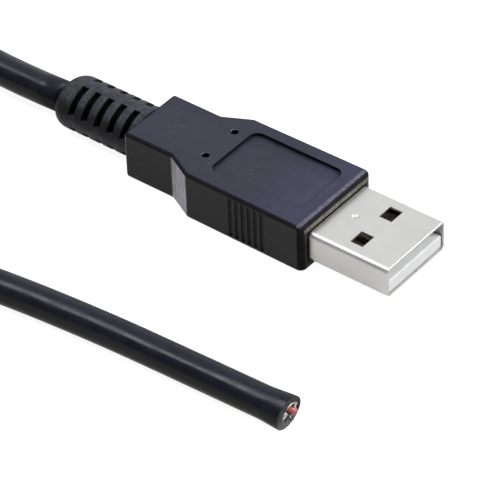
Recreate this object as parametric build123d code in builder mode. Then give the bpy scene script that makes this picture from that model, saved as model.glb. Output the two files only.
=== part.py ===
from build123d import *
from math import cos, degrees, radians, sin, tan
import os

# A data plug on a round cable whose other end is cut off square, in millimetres.
# X runs along the plug towards its mouth, Z is up, and the plug lies on its moulded underside.
# The origin is under the middle of the plug, on the surface that it lies on.

# Clearance between pieces that are pressed, crimped or moulded together
fit_gap = 0.02

# Plug shell, a sheet folded into a flat tube of the standard plug size
shell_width = 12.0
shell_height = 4.5
shell_sheet = 0.3
shell_corner = 0.72
shell_exposed = 12.15
shell_hidden = 5.8
shell_lip_round = 0.1
seam_width = 0.08
window_length = 1.9
window_width = 2.4
window_from_mouth = 6.05
window_spacing = 6.0
dent_from_mouth = 9.35
dent_ball_radius = 0.7
dent_depth = 0.18

# Insulator, the white tongue with its block behind the mouth
tongue_thickness = 1.9
tongue_setback = 0.2
tongue_corner = 0.45
tongue_edge_round = 0.25
mouth_depth = 10.0
insulator_side_gap = 0.05
insulator_hidden = 4.8

# Contacts, four flat strips in the tongue with solder tails behind it
contact_width = 1.0
contact_thickness = 0.25
outer_contact_offset = 3.5
inner_contact_offset = 1.0
outer_contact_setback = 1.6
inner_contact_setback = 2.6
contact_tail = 3.5

# Overmould body
body_height = 7.1
body_front_width = 14.6
body_shoulder_width = 14.25
body_rear_width = 10.3
grip_length = 18.55
taper_length = 3.85
rear_block_length = 7.8
front_corner_round = 1.0
side_corner_round = 0.4
body_edge_round = 0.5

# Shallow panel in the top, the two holes of the mould's core pins and the gate's shallow dish
panel_from_front = 2.55
panel_length = 14.3
panel_width = 9.75
panel_offset = 0.32
panel_depth = 0.5
panel_corner = 1.3
pin_hole_radius = 0.55
pin_hole_depth = 1.6
pin_hole_from_front = 18.85
pin_hole_spacing = 5.9
pin_hole_offset = 0.45
gate_mark_from_front = 25.65
gate_mark_offset = 0.84
gate_mark_ball_radius = 4.0
gate_mark_depth = 0.12

# Upright finger grooves in both sides
groove_count = 6
groove_pitch = 1.0
groove_radius = 0.3
groove_from_front = 6.35
groove_end_margin = 0.55

# Slotted strain relief at the rear of the overmould
boot_length = 13.95
boot_width = 8.05
boot_height = 7.0
boot_end_round = 2.3
slot_count = 5
slot_pitch = 2.16
slot_width = 1.0
slot_from_body = 1.45
slot_floor_radius = 2.75
slot_reach = 5.0
# Each slot spans these angles in degrees, from the top towards the -Y side
slot_spans = ((7, 78), (106, 164), (196, 254), (280, 336))

# Cable, four wires in foil, braid and jacket
cable_diameter = 4.2
cable_drop = 0.35
jacket_wall = 0.75
braid_thickness = 0.14
foil_thickness = 0.04
wire_diameter = 0.92
core_diameter = 0.38
drain_diameter = 0.34
drain_offset = 0.94

# Inside the rear of the plug
jacket_end_from_front = 19.3
braid_fold_length = 2.8
cover_sheet = 0.25
cover_overlap = 2.5
cover_length = 13.0
collar_length = 6.0
inner_mould_length = 6.0
inner_mould_side_gap = 0.05
wire_end_from_front = 8.9
wire_straight_end = 2.9
outer_fan_from_front = 17.3
inner_fan_from_front = 15.3
wire_bend_radius = 4.0
core_bare_length = 2.7
core_hidden_length = 1.5
solder_length = 2.2
solder_width = 0.96
solder_height = 0.65
solder_round = 0.2
solder_from_insulator = 1.1
drain_bend_from_front = 17.8
drain_run_length = 3.0
drain_bend_radius = 2.0

# Put-away coil, two turns wide and three high, with the strap that holds it
coil_columns = 2
coil_layers = 3
coil_margin = 0.15
coil_centre_x = -86.15
coil_centre_y = -25.1
coil_mean_radius = 23.0
coil_exit_angle = 14.5
coil_stub_length = 16.0
strap_thickness = 0.5
strap_width = 9.0
strap_angle = 200.0

# Corners of the free cable's two stretches, besides those that the plug and the coil set
plug_lead_x = -44.0
coil_lead_x = -57.85
cut_lead_x = -46.35
corner_share = 0.45
floor_corners = ((-27.75, -36.0), (-12.35, -33.1), (3.65, -31.55), (17.85, -30.9), (31.4, -30.35))

# Cut end of the cable, with its wires in order round the bundle and how far each stands out
cut_depth = 8.0
shield_stand_out = 0.1
core_stand_out = 0.04
cut_bundle_turn = -8.0
wire_spacing_angle = 90.0
cut_rows = (("red", 0.55), ("green", -0.5), ("white", 0.15), ("black", -0.2))

# Heights and stations that the pieces share
axis_z = body_height / 2
cable_z = axis_z - cable_drop
body_length = grip_length + taper_length + rear_block_length
front_x = (body_length + boot_length - shell_exposed) / 2
mouth_x = front_x + shell_exposed
body_rear_x = front_x - body_length
boot_end_x = body_rear_x - boot_length
shell_end_x = front_x - shell_hidden
shell_floor_z = axis_z - shell_height / 2 + shell_sheet
shell_inner_width = shell_width - 2 * shell_sheet
shell_inner_height = shell_height - 2 * shell_sheet
tongue_tip_x = mouth_x - tongue_setback
insulator_end_x = front_x - insulator_hidden
contact_top_z = shell_floor_z + fit_gap + tongue_thickness
contact_tail_x = insulator_end_x - contact_tail
cable_radius = cable_diameter / 2
jacket_bore_radius = cable_radius - jacket_wall
braid_radius = jacket_bore_radius - fit_gap
foil_radius = braid_radius - braid_thickness - fit_gap
wire_radius = wire_diameter / 2
wire_offset = wire_radius + fit_gap / 2
core_radius = core_diameter / 2
core_z = contact_top_z + core_radius + fit_gap
jacket_end_x = front_x - jacket_end_from_front
fold_radius = cable_radius + fit_gap + braid_thickness
cover_front_x = shell_end_x + cover_overlap
cover_rear_x = cover_front_x - cover_length
collar_end_x = cover_rear_x - collar_length
cover_width = shell_width + 2 * (fit_gap + cover_sheet)
cover_height = shell_height + 2 * (fit_gap + cover_sheet)
cover_corner = shell_corner + fit_gap + cover_sheet
collar_radius = fold_radius + fit_gap + cover_sheet
inner_mould_end_x = insulator_end_x - fit_gap - inner_mould_length
wire_end_x = front_x - wire_end_from_front

os.makedirs("parts", exist_ok=True)


def station(x, z=axis_z, y=0.0):
    """Plane square to X at x, seen from the rear, with its own x to -Y and its own y up."""
    return Plane(origin=(x, y, z), x_dir=(0, -1, 0), z_dir=(-1, 0, 0))


def rounded_bar(front, rear, width, height, corner, mode=Mode.ADD):
    """Bar along X with rounded long edges, from front to rear."""
    with BuildSketch(station(front)) as section:
        RectangleRounded(width, height, corner)
    extrude(section.sketch, amount=front - rear, mode=mode)


def round_bar(front, rear, radius, z, y=0.0, mode=Mode.ADD):
    """Cylinder along X, from front to rear."""
    with BuildSketch(station(front, z, y)) as section:
        Circle(radius)
    extrude(section.sketch, amount=front - rear, mode=mode)


def square_bar(front, rear, low_z, high_z, width, y=0.0, mode=Mode.ADD):
    """Plain bar along X, from front to rear and from low_z to high_z."""
    with BuildSketch(station(front, (low_z + high_z) / 2, y)) as section:
        Rectangle(width, high_z - low_z)
    extrude(section.sketch, amount=front - rear, mode=mode)


def swept_rod(points, radii, radius):
    """Round rod along straight runs that are joined by tangent arcs."""
    with BuildLine() as path:
        FilletPolyline(*points, radius=radii)
    with BuildSketch(Plane(origin=path.line @ 0, z_dir=path.line % 0)) as section:
        Circle(radius)
    sweep(section.sketch, path=path.line)


def cord_radii(points):
    """Largest arc at each corner of a free cord: a set share of its shorter run."""
    vectors = [Vector(*point) for point in points]
    runs = [end - start for start, end in zip(vectors, vectors[1:])]
    radii = []
    for before, after in zip(runs, runs[1:]):
        half_turn = radians(before.get_angle(after)) / 2
        radii.append(corner_share * min(before.length, after.length) / tan(half_turn))
    return radii


# Overmould: tapered body, slotted strain relief, finger grooves, panel and pin holes
with BuildPart() as overmould:
    with BuildSketch():
        with BuildLine():
            Polyline(
                (front_x, body_front_width / 2),
                (front_x - grip_length, body_shoulder_width / 2),
                (front_x - grip_length - taper_length, body_rear_width / 2),
                (body_rear_x, body_rear_width / 2),
                (body_rear_x, -body_rear_width / 2),
                (front_x - grip_length - taper_length, -body_rear_width / 2),
                (front_x - grip_length, -body_shoulder_width / 2),
                (front_x, -body_front_width / 2),
                close=True,
            )
        make_face()
    extrude(amount=body_height)
    uprights = overmould.edges().filter_by(Axis.Z).sort_by(Axis.X)
    fillet(uprights[-2:], front_corner_round)
    uprights = overmould.edges().filter_by(Axis.Z).group_by(Axis.X)
    fillet(uprights[0] + uprights[1] + uprights[2], side_corner_round)
    fillet(overmould.faces().filter_by(Axis.Z).edges(), body_edge_round)
    with BuildSketch(station(body_rear_x)):
        Ellipse(boot_width / 2, boot_height / 2)
    extrude(amount=boot_length)
    fillet(overmould.faces().sort_by(Axis.X)[0].edges(), boot_end_round)

    # Slots through the strain relief's skin, in rows with a rib between them
    for slot in range(slot_count):
        slot_x = body_rear_x - slot_from_body - slot * slot_pitch
        with BuildSketch(station(slot_x)):
            for start, end in slot_spans:
                with BuildLine():
                    floor = CenterArc((0, 0), slot_floor_radius, 90 - end, end - start)
                    top = CenterArc((0, 0), slot_reach, 90 - end, end - start)
                    Line(floor @ 0, top @ 0)
                    Line(floor @ 1, top @ 1)
                make_face()
        extrude(amount=slot_width / 2, both=True, mode=Mode.SUBTRACT)

    # Finger grooves follow the slight taper of the sides
    side_slope = (body_front_width - body_shoulder_width) / 2 / grip_length
    for groove in range(groove_count):
        from_front = groove_from_front + groove * groove_pitch
        side_y = body_front_width / 2 - side_slope * from_front
        with BuildSketch(Plane.XY.offset(groove_end_margin)):
            with Locations((front_x - from_front, side_y), (front_x - from_front, -side_y)):
                Circle(groove_radius)
        extrude(amount=body_height - 2 * groove_end_margin, mode=Mode.SUBTRACT)

    with BuildSketch(Plane.XY.offset(body_height)):
        with Locations((front_x - panel_from_front - panel_length / 2, panel_offset)):
            RectangleRounded(panel_length, panel_width, panel_corner)
    extrude(amount=-panel_depth, mode=Mode.SUBTRACT)
    with BuildSketch(Plane.XY.offset(body_height)):
        with Locations((front_x - pin_hole_from_front, pin_hole_offset)):
            with GridLocations(0, pin_hole_spacing, 1, 2):
                Circle(pin_hole_radius)
    extrude(amount=-pin_hole_depth, mode=Mode.SUBTRACT)
    gate_ball_z = body_height + gate_mark_ball_radius - gate_mark_depth
    with Locations((front_x - gate_mark_from_front, gate_mark_offset, gate_ball_z)):
        Sphere(gate_mark_ball_radius, mode=Mode.SUBTRACT)

    # Space that the plug's metal parts and the cable fill
    rounded_bar(
        front_x,
        cover_front_x,
        shell_width + 2 * fit_gap,
        shell_height + 2 * fit_gap,
        shell_corner + fit_gap,
        mode=Mode.SUBTRACT,
    )
    rounded_bar(
        cover_front_x + fit_gap,
        cover_rear_x - fit_gap,
        cover_width + 2 * fit_gap,
        cover_height + 2 * fit_gap,
        cover_corner + fit_gap,
        mode=Mode.SUBTRACT,
    )
    round_bar(
        cover_rear_x, collar_end_x - fit_gap, collar_radius + fit_gap, cable_z, mode=Mode.SUBTRACT
    )
    round_bar(collar_end_x, boot_end_x, cable_radius + fit_gap, cable_z, mode=Mode.SUBTRACT)
overmould.part.label = "overmould"
export_step(overmould.part, "parts/overmould.step")

# Plug shell: folded tube with a seam below, latch windows in both faces and a dent on top
with BuildPart() as plug_shell:
    rounded_bar(mouth_x, shell_end_x, shell_width, shell_height, shell_corner)
    fillet(plug_shell.faces().sort_by(Axis.X)[-1].edges(), shell_lip_round)
    rounded_bar(
        mouth_x,
        shell_end_x,
        shell_inner_width,
        shell_inner_height,
        shell_corner - shell_sheet,
        mode=Mode.SUBTRACT,
    )
    with BuildSketch():
        with Locations((mouth_x - window_from_mouth, 0)):
            with GridLocations(0, window_spacing, 1, 2):
                Rectangle(window_length, window_width)
    extrude(amount=body_height, mode=Mode.SUBTRACT)
    square_bar(mouth_x, shell_end_x, 0, axis_z, seam_width, mode=Mode.SUBTRACT)
    dent_z = axis_z + shell_height / 2 + dent_ball_radius - dent_depth
    with Locations((mouth_x - dent_from_mouth, 0, dent_z)):
        Sphere(dent_ball_radius, mode=Mode.SUBTRACT)
plug_shell.part.label = "plug_shell"
export_step(plug_shell.part, "parts/plug_shell.step")

# Insulator: tongue along the shell's floor, and the block that closes the mouth behind it
insulator_width = shell_inner_width - 2 * insulator_side_gap
insulator_height = shell_inner_height - 2 * fit_gap
contact_rows = (
    ("power", outer_contact_offset, outer_contact_setback),
    ("data_minus", inner_contact_offset, inner_contact_setback),
    ("data_plus", -inner_contact_offset, inner_contact_setback),
    ("ground", -outer_contact_offset, outer_contact_setback),
)
with BuildPart() as insulator:
    rounded_bar(tongue_tip_x, insulator_end_x, insulator_width, insulator_height, tongue_corner)
    square_bar(
        tongue_tip_x,
        mouth_x - mouth_depth,
        contact_top_z,
        body_height,
        shell_width,
        mode=Mode.SUBTRACT,
    )
    tongue_top = insulator.faces().filter_by(Axis.Z).group_by(Axis.Z)[-2]
    fillet(tongue_top.edges().filter_by(Axis.X), tongue_edge_round)
    fillet(insulator.faces().sort_by(Axis.X)[-1].edges().sort_by(Axis.Z)[-1], tongue_edge_round)
    for _, contact_y, setback in contact_rows:
        square_bar(
            mouth_x - setback + fit_gap,
            insulator_end_x,
            contact_top_z - contact_thickness,
            contact_top_z + fit_gap,
            contact_width + 2 * fit_gap,
            contact_y,
            mode=Mode.SUBTRACT,
        )
insulator.part.label = "insulator"
export_step(insulator.part, "parts/insulator.step")

# Contacts: flat strips, the outer two reaching further forward
for name, contact_y, setback in contact_rows:
    with BuildPart() as contact:
        square_bar(
            mouth_x - setback,
            contact_tail_x,
            contact_top_z - contact_thickness,
            contact_top_z,
            contact_width,
            contact_y,
        )
        front_top = contact.faces().sort_by(Axis.X)[-1].edges().sort_by(Axis.Z)[-1]
        chamfer(front_top, contact_thickness / 2)
    contact.part.label = f"{name}_contact"
    export_step(contact.part, f"parts/{name}_contact.step")

# Solder joints on the tails, each with the hole that its wire's core lies in
solder_front_x = insulator_end_x - solder_from_insulator
core_tip_x = wire_end_x + core_bare_length
for name, contact_y, _ in contact_rows:
    with BuildPart() as solder:
        square_bar(
            solder_front_x,
            solder_front_x - solder_length,
            contact_top_z,
            contact_top_z + solder_height,
            solder_width,
            contact_y,
        )
        fillet(solder.faces().sort_by(Axis.Z)[-1].edges(), solder_round)
        round_bar(
            core_tip_x + fit_gap,
            solder_front_x - solder_length,
            core_radius + fit_gap,
            core_z,
            contact_y,
            mode=Mode.SUBTRACT,
        )
    solder.part.label = f"{name}_solder_joint"
    export_step(solder.part, f"parts/{name}_solder_joint.step")

# Wires in the plug: side by side in the cable, then fanned out to their contacts
wire_rows = (
    ("red", outer_contact_offset, 1, 1, outer_fan_from_front),
    ("white", inner_contact_offset, 1, -1, inner_fan_from_front),
    ("green", -inner_contact_offset, -1, -1, inner_fan_from_front),
    ("black", -outer_contact_offset, -1, 1, outer_fan_from_front),
)
for colour, contact_y, side, level, fan_from_front in wire_rows:
    bundle_y = side * wire_offset
    bundle_z = cable_z + level * wire_offset
    with BuildPart() as wire:
        swept_rod(
            [
                (boot_end_x, bundle_y, bundle_z),
                (front_x - fan_from_front, bundle_y, bundle_z),
                (wire_end_x - wire_straight_end, contact_y, core_z),
                (wire_end_x, contact_y, core_z),
            ],
            wire_bend_radius,
            wire_radius,
        )
        round_bar(
            wire_end_x,
            wire_end_x - core_hidden_length - fit_gap,
            core_radius + fit_gap,
            core_z,
            contact_y,
            mode=Mode.SUBTRACT,
        )
    wire.part.label = f"{colour}_wire"
    export_step(wire.part, f"parts/{colour}_wire.step")
    with BuildPart() as core:
        round_bar(core_tip_x, wire_end_x - core_hidden_length, core_radius, core_z, contact_y)
    core.part.label = f"{colour}_wire_core"
    export_step(core.part, f"parts/{colour}_wire_core.step")

# Inner mould: the hard block round the tails, the solder and the wires' ends
with BuildPart() as inner_mould:
    inner_mould_front_x = insulator_end_x - fit_gap
    rounded_bar(
        inner_mould_front_x,
        inner_mould_end_x,
        shell_inner_width - 2 * inner_mould_side_gap,
        insulator_height,
        tongue_corner,
    )
    for _, contact_y, _ in contact_rows:
        square_bar(
            inner_mould_front_x,
            contact_tail_x - fit_gap,
            contact_top_z - contact_thickness - fit_gap,
            contact_top_z + fit_gap,
            contact_width + 2 * fit_gap,
            contact_y,
            mode=Mode.SUBTRACT,
        )
        square_bar(
            solder_front_x + fit_gap,
            solder_front_x - solder_length - fit_gap,
            contact_top_z,
            contact_top_z + solder_height + fit_gap,
            solder_width + 2 * fit_gap,
            contact_y,
            mode=Mode.SUBTRACT,
        )
        round_bar(
            solder_front_x,
            inner_mould_end_x,
            core_radius + fit_gap,
            core_z,
            contact_y,
            mode=Mode.SUBTRACT,
        )
        round_bar(
            wire_end_x + fit_gap,
            inner_mould_end_x,
            wire_radius + fit_gap,
            core_z,
            contact_y,
            mode=Mode.SUBTRACT,
        )
inner_mould.part.label = "inner_mould"
export_step(inner_mould.part, "parts/inner_mould.step")


def rear_cover_tube():
    """Sheet box round the back of the shell, with the collar that is crimped on the braid."""
    rounded_bar(cover_front_x, cover_rear_x, cover_width, cover_height, cover_corner)
    round_bar(cover_rear_x, collar_end_x, collar_radius, cable_z)
    rounded_bar(
        cover_front_x,
        cover_rear_x + cover_sheet,
        cover_width - 2 * cover_sheet,
        cover_height - 2 * cover_sheet,
        cover_corner - cover_sheet,
        mode=Mode.SUBTRACT,
    )
    round_bar(
        cover_rear_x + cover_sheet,
        collar_end_x,
        collar_radius - cover_sheet,
        cable_z,
        mode=Mode.SUBTRACT,
    )


# Rear cover, in two halves that meet at the height of the cable's middle
with BuildPart() as rear_cover_top:
    rear_cover_tube()
    split(bisect_by=Plane.XY.offset(cable_z), keep=Keep.TOP)
rear_cover_top.part.label = "rear_cover_top"
export_step(rear_cover_top.part, "parts/rear_cover_top.step")

with BuildPart() as rear_cover_bottom:
    rear_cover_tube()
    split(bisect_by=Plane.XY.offset(cable_z), keep=Keep.BOTTOM)
rear_cover_bottom.part.label = "rear_cover_bottom"
export_step(rear_cover_bottom.part, "parts/rear_cover_bottom.step")

# Cable layers inside the plug, from the strain relief's end to the cut jacket
with BuildPart() as jacket_in_plug:
    round_bar(jacket_end_x, boot_end_x, cable_radius, cable_z)
    round_bar(jacket_end_x, boot_end_x, jacket_bore_radius, cable_z, mode=Mode.SUBTRACT)
jacket_in_plug.part.label = "jacket_in_plug"
export_step(jacket_in_plug.part, "parts/jacket_in_plug.step")

# Braid: it leaves the jacket and is folded back over its end
fold_tip_x = jacket_end_x + fit_gap + braid_thickness
with BuildPart() as braid_in_plug:
    round_bar(fold_tip_x, jacket_end_x - braid_fold_length, fold_radius, cable_z)
    round_bar(
        jacket_end_x + fit_gap,
        jacket_end_x - braid_fold_length,
        cable_radius + fit_gap,
        cable_z,
        mode=Mode.SUBTRACT,
    )
    round_bar(fold_tip_x, boot_end_x, braid_radius, cable_z)
    round_bar(fold_tip_x, boot_end_x, foil_radius + fit_gap, cable_z, mode=Mode.SUBTRACT)
braid_in_plug.part.label = "braid_in_plug"
export_step(braid_in_plug.part, "parts/braid_in_plug.step")

with BuildPart() as foil_in_plug:
    round_bar(fold_tip_x, boot_end_x, foil_radius, cable_z)
    round_bar(fold_tip_x, boot_end_x, foil_radius - foil_thickness, cable_z, mode=Mode.SUBTRACT)
foil_in_plug.part.label = "foil_in_plug"
export_step(foil_in_plug.part, "parts/foil_in_plug.step")

# Drain wire: under the four wires, then down onto the floor of the lower cover
cover_floor_z = axis_z - cover_height / 2 + cover_sheet
drain_radius = drain_diameter / 2
drain_end_z = cover_floor_z + fit_gap + drain_radius
drain_bend_x = front_x - drain_bend_from_front
with BuildPart() as drain_wire_in_plug:
    swept_rod(
        [
            (boot_end_x, 0, cable_z - drain_offset),
            (drain_bend_x, 0, cable_z - drain_offset),
            (drain_bend_x + drain_run_length, 0, drain_end_z),
            (drain_bend_x + 2 * drain_run_length, 0, drain_end_z),
        ],
        drain_bend_radius,
        drain_radius,
    )
drain_wire_in_plug.part.label = "drain_wire_in_plug"
export_step(drain_wire_in_plug.part, "parts/drain_wire_in_plug.step")

# Route of the free cable, by its centre: from the plug to the coil and from the coil to the cut
strap_lift = strap_thickness + fit_gap + coil_margin
lowest_turn_z = strap_lift + cable_radius
middle_turn_z = lowest_turn_z + cable_diameter
outer_turn_radius = coil_mean_radius + (coil_columns - 1) * cable_diameter / 2
heading_x = cos(radians(coil_exit_angle))
heading_y = sin(radians(coil_exit_angle))
exit_x = coil_centre_x + outer_turn_radius * heading_y
exit_y = coil_centre_y - outer_turn_radius * heading_x
entry_y = coil_centre_y + outer_turn_radius
entry_end_x = coil_centre_x + coil_stub_length
exit_end_x = exit_x + coil_stub_length * heading_x
exit_end_y = exit_y + coil_stub_length * heading_y
route_to_coil = [
    (boot_end_x, 0, cable_z),
    (plug_lead_x, 0, cable_z),
    (coil_lead_x, entry_y, middle_turn_z),
    (entry_end_x, entry_y, middle_turn_z),
]
route_to_cut = [
    (exit_end_x, exit_end_y, lowest_turn_z),
    (cut_lead_x, exit_end_y + (cut_lead_x - exit_end_x) * heading_y / heading_x, lowest_turn_z),
    *((x, y, cable_radius) for x, y in floor_corners),
]

with BuildPart() as cable_to_coil:
    swept_rod(route_to_coil, cord_radii(route_to_coil), cable_radius)
cable_to_coil.part.label = "cable_to_coil"
export_step(cable_to_coil.part, "parts/cable_to_coil.step")

# Coil: the outer shape of its turns, with the two ends that leave it along a tangent
coil_width = coil_columns * cable_diameter + 2 * coil_margin
coil_height = coil_layers * cable_diameter + 2 * coil_margin
coil_middle_z = strap_lift - coil_margin + coil_height / 2
coil_corner = cable_radius
coil_axis = Axis((coil_centre_x, coil_centre_y, 0), (0, 0, 1))
with BuildPart() as cable_coil:
    with BuildSketch(Plane.XZ.offset(-coil_centre_y)):
        with Locations((coil_centre_x + coil_mean_radius, coil_middle_z)):
            RectangleRounded(coil_width, coil_height, coil_corner)
    revolve(axis=coil_axis)
    with BuildSketch(station(entry_end_x, middle_turn_z, entry_y)):
        Circle(cable_radius)
    extrude(amount=coil_stub_length)
    exit_plane = Plane(
        origin=(exit_end_x, exit_end_y, lowest_turn_z), z_dir=(-heading_x, -heading_y, 0)
    )
    with BuildSketch(exit_plane):
        Circle(cable_radius)
    extrude(amount=coil_stub_length)
cable_coil.part.label = "cable_coil"
export_step(cable_coil.part, "parts/cable_coil.step")

# Strap round the coil's turns
strap_sweep = degrees(strap_width / coil_mean_radius)
strap_inner_width = coil_width + 2 * fit_gap
strap_inner_height = coil_height + 2 * fit_gap
strap_plane = Plane.XZ.offset(-coil_centre_y)
with BuildPart() as coil_strap:
    with BuildSketch(strap_plane):
        with Locations((coil_centre_x + coil_mean_radius, coil_middle_z)):
            RectangleRounded(
                strap_inner_width + 2 * strap_thickness,
                strap_inner_height + 2 * strap_thickness,
                coil_corner + fit_gap + strap_thickness,
            )
            RectangleRounded(
                strap_inner_width,
                strap_inner_height,
                coil_corner + fit_gap,
                mode=Mode.SUBTRACT,
            )
    revolve(axis=coil_axis, revolution_arc=strap_sweep)
coil_strap.part = coil_strap.part.rotate(coil_axis, strap_angle - strap_sweep / 2)
coil_strap.part.label = "coil_strap"
export_step(coil_strap.part, "parts/coil_strap.step")

# Cable from the coil to the cut end, hollow where its layers show
cut_point = Vector(*route_to_cut[-1])
last_run = cut_point - Vector(*route_to_cut[-2])
cut_heading = last_run.normalized()
cut_plane = Plane(
    origin=cut_point, x_dir=(-cut_heading.Y, cut_heading.X, 0), z_dir=cut_heading
)


def cut_rod(radius, stand_out, x=0.0, y=0.0, mode=Mode.ADD, depth=cut_depth - fit_gap):
    """Rod in the cut end, from depth behind the jacket's face to stand_out before it."""
    with BuildSketch(cut_plane.offset(stand_out)) as section:
        with Locations((x, y)):
            Circle(radius)
    extrude(section.sketch, amount=-(depth + stand_out), mode=mode)


with BuildPart() as cable_to_cut_end:
    swept_rod(route_to_cut, cord_radii(route_to_cut), cable_radius)
    cut_rod(jacket_bore_radius, 0, mode=Mode.SUBTRACT, depth=cut_depth)
cable_to_cut_end.part.label = "cable_to_cut_end"
export_step(cable_to_cut_end.part, "parts/cable_to_cut_end.step")

with BuildPart() as cut_end_braid:
    cut_rod(braid_radius, shield_stand_out)
    cut_rod(foil_radius + fit_gap, shield_stand_out, mode=Mode.SUBTRACT)
cut_end_braid.part.label = "cut_end_braid"
export_step(cut_end_braid.part, "parts/cut_end_braid.step")

with BuildPart() as cut_end_foil:
    cut_rod(foil_radius, 0)
    cut_rod(foil_radius - foil_thickness, 0, mode=Mode.SUBTRACT)
cut_end_foil.part.label = "cut_end_foil"
export_step(cut_end_foil.part, "parts/cut_end_foil.step")

with BuildPart() as cut_end_drain_wire:
    drain_turn = radians(cut_bundle_turn - wire_spacing_angle / 2)
    cut_rod(drain_radius, 0, drain_offset * cos(drain_turn), drain_offset * sin(drain_turn))
cut_end_drain_wire.part.label = "cut_end_drain_wire"
export_step(cut_end_drain_wire.part, "parts/cut_end_drain_wire.step")

# Wires at the cut
bundle_radius = wire_offset * 2**0.5
for place, (colour, stand_out) in enumerate(cut_rows):
    turn = radians(cut_bundle_turn + wire_spacing_angle * place)
    wire_x = bundle_radius * cos(turn)
    wire_y = bundle_radius * sin(turn)
    with BuildPart() as cut_wire:
        cut_rod(wire_radius, stand_out, wire_x, wire_y)
        cut_rod(core_radius + fit_gap, stand_out, wire_x, wire_y, mode=Mode.SUBTRACT)
    cut_wire.part.label = f"cut_end_{colour}_wire"
    export_step(cut_wire.part, f"parts/cut_end_{colour}_wire.step")
    with BuildPart() as cut_core:
        cut_rod(core_radius, stand_out + core_stand_out, wire_x, wire_y)
    cut_core.part.label = f"cut_end_{colour}_core"
    export_step(cut_core.part, f"parts/cut_end_{colour}_core.step")

print("cord radii to the coil:", [round(radius, 1) for radius in cord_radii(route_to_coil)])
print("cord radii to the cut:", [round(radius, 1) for radius in cord_radii(route_to_cut)])
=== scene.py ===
import math

import bmesh
import bpy
from mathutils import Matrix, Vector


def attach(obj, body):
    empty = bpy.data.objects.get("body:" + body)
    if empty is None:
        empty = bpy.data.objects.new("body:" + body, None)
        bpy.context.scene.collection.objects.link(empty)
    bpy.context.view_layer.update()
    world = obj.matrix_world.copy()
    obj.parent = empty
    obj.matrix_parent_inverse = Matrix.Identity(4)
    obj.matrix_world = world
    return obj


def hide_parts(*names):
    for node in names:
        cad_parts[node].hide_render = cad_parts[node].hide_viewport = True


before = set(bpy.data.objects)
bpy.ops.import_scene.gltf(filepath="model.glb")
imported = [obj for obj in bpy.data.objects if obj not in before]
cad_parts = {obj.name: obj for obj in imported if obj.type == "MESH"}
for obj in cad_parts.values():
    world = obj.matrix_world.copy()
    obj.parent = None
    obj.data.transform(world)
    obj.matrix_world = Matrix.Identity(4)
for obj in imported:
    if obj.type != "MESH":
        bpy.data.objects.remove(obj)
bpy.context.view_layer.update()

# Sizes in metres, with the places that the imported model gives
MM = 0.001
CABLE_DIAMETER = 4.2 * MM
CABLE_BORE = 1.35 * MM
CUT_DEPTH = 8.0 * MM
PLUG_END_SWELL = 0.05
PLUG_END_LENGTH = 60 * MM
FLOOR_SIZE = 4.0


# Camera, at the place and angle from which the plug was photographed
CAMERA_ANGLES = (39.383, 39.544, -2.0)
CAMERA_TARGET = Vector((8.689, -10.335, 4.0)) * MM
CAMERA_DISTANCE = 420.061 * MM
CAMERA_LENS, SENSOR_WIDTH = 254.18, 36


def place_camera():
    azimuth, elevation, roll = (math.radians(angle) for angle in CAMERA_ANGLES)
    back = Vector(
        (
            math.sin(azimuth) * math.cos(elevation),
            -math.cos(azimuth) * math.cos(elevation),
            math.sin(elevation),
        )
    )
    level = Vector((0, 0, 1)).cross(back).normalized()
    upright = back.cross(level)
    right = math.cos(roll) * level + math.sin(roll) * upright
    top = math.cos(roll) * upright - math.sin(roll) * level
    matrix = Matrix((right, top, back)).transposed().to_4x4()
    matrix.translation = CAMERA_TARGET + back * CAMERA_DISTANCE
    data = bpy.data.cameras.new("camera")
    data.sensor_width = SENSOR_WIDTH
    data.lens = CAMERA_LENS
    data.clip_start = 0.01
    camera = bpy.data.objects.new("camera", data)
    bpy.context.scene.collection.objects.link(camera)
    camera.matrix_world = matrix
    bpy.context.scene.camera = camera


place_camera()


def add_object(name, data):
    piece = bpy.data.objects.new(name, data)
    bpy.context.scene.collection.objects.link(piece)
    return piece


# Route of the cable by its centre: plug to coil, the coil's turns, coil to cut end
LEAD_POINTS = [(-28.15, 0, 3.2), (-44.0, -0.3, 2.6), (-57.85, 0, 6.97), (-70.15, 0, 6.97)]
CUT_POINTS = [
    (-64.37, -45.39, 2.77),
    (-46.35, -40.73, 2.77),
    (-27.75, -36.0, 2.1),
    (-12.35, -33.1, 2.1),
    (3.65, -31.55, 2.1),
    (17.85, -30.9, 2.1),
    (31.4, -30.35, 2.1),
]
COIL_CENTRE = (-86.15, -25.1)
# Each turn's radius and height, and the turn's angle at which the cable starts to move on to it
COIL_TURNS = [
    (25.1, 6.97),
    (25.1, 11.17),
    (20.9, 11.17),
    (20.9, 6.97),
    (20.9, 2.77),
    (25.1, 2.77),
]
COIL_SWEEP = 5 * 360 + 194.5
COIL_STEPS = 133
TURN_CHANGES = [280.0, 585.0, 890.0, 1195.0, 1500.0]
CHANGE_ANGLE = 50.0


def coil_points():
    """Points of the coil's turns, each change of turn a smooth ramp beside the ones before it."""
    step = COIL_SWEEP / COIL_STEPS
    bulge = 1 / math.cos(math.radians(step / 2))
    points = []
    for number in range(COIL_STEPS + 1):
        swept = (number - 0.5) * step
        radius, height = COIL_TURNS[0]
        for change, (next_radius, next_height) in zip(TURN_CHANGES, COIL_TURNS[1:]):
            share = min(max((swept - change) / CHANGE_ANGLE, 0), 1)
            share = share * share * (3 - 2 * share)
            radius += (next_radius - radius) * share
            height += (next_height - height) * share
        angle = math.radians(90 + swept)
        points.append(
            (
                COIL_CENTRE[0] + radius * bulge * math.cos(angle),
                COIL_CENTRE[1] + radius * bulge * math.sin(angle),
                height,
            )
        )
    return points


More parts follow.
